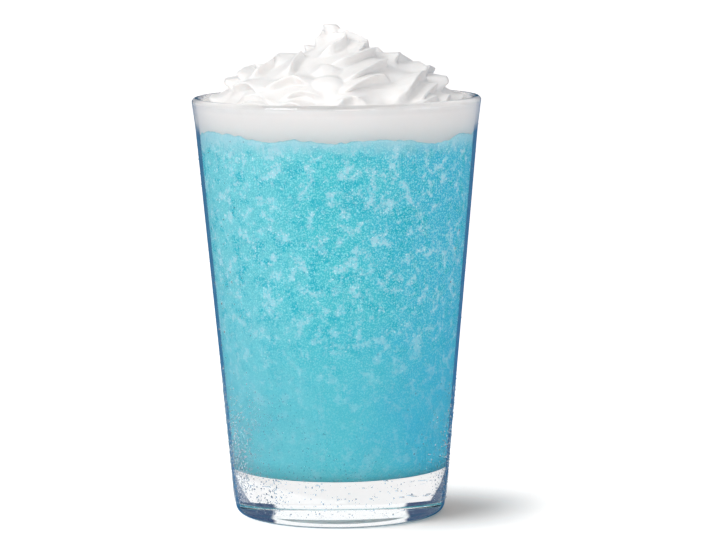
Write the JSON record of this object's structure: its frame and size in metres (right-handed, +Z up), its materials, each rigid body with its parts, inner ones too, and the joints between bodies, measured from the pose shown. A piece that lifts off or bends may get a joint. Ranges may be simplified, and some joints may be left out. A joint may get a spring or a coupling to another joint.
{
  "type": "frozen slush drink",
  "caption": "Tapered clear glass tumbler filled with pale blue frozen slush and topped with a coiled heap of piped whipped cream.",
  "frame": {"origin": "on the table, under the middle of the glass's foot", "axes": "+Z up along the glass's axis, -Y towards the viewer of the picture, +X to the right"},
  "size_m": [0.0896, 0.0896, 0.1525],
  "materials": {
    "glass": "clear, polished, with fine condensation",
    "slush": "wet crushed ice, grainy, milky turquoise",
    "cream": "soft whipped cream, white, faintly glossy"
  },
  "bodies": {
    "root": {"glass": "glass", "slush": "slush", "cream": "cream"}
  },
  "joints": []
}
